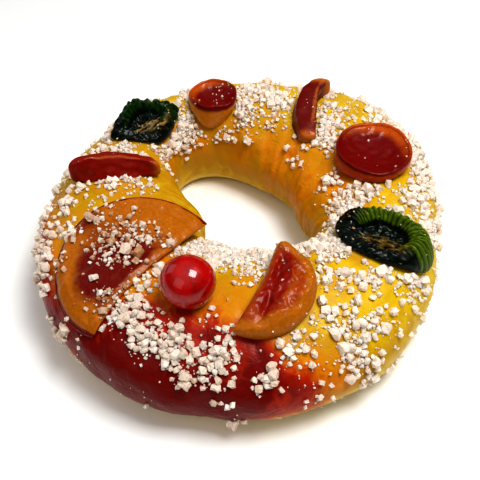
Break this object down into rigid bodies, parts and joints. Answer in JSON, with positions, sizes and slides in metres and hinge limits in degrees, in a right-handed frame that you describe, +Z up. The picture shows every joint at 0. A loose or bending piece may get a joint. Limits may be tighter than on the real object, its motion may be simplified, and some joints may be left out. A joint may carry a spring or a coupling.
{
  "type": "roscon de reyes",
  "caption": "Ring of sweet bread with an uneven round hole, browned at the front, topped with candied fruit, a glazed cherry and lumps of sugar.",
  "frame": {"origin": "middle of the base's bounding box, on the surface that the ring stands on", "axes": "+Z up; -Y is the browned side with the cherry; +X is the right seen from there"},
  "size_m": [0.1862, 0.1916, 0.0615],
  "materials": {
    "bread": "egg-glazed brioche crust, golden yellow, deep red-brown where it browned most",
    "cherry": "glossy glazed cherry",
    "candied_orange": "translucent amber candied orange, moist gloss",
    "candied_green_fruit": "dark green candied fruit with a bright rind, moist gloss",
    "candied_red_fruit": "dark red translucent candied fruit, moist gloss",
    "sugar": "lumps of moistened sugar, off-white"
  },
  "bodies": {
    "root": {"bread": "bread", "cherry": "cherry", "orange_slice": "candied_orange", "orange_wedge": "candied_orange", "green_fruit_right": "candied_green_fruit", "green_fruit_left": "candied_green_fruit", "fruit_cup_right": "candied_red_fruit", "fruit_cup_back": "candied_red_fruit", "peel_strip": "candied_red_fruit", "peel_crescent": "candied_red_fruit"}
  },
  "joints": []
}
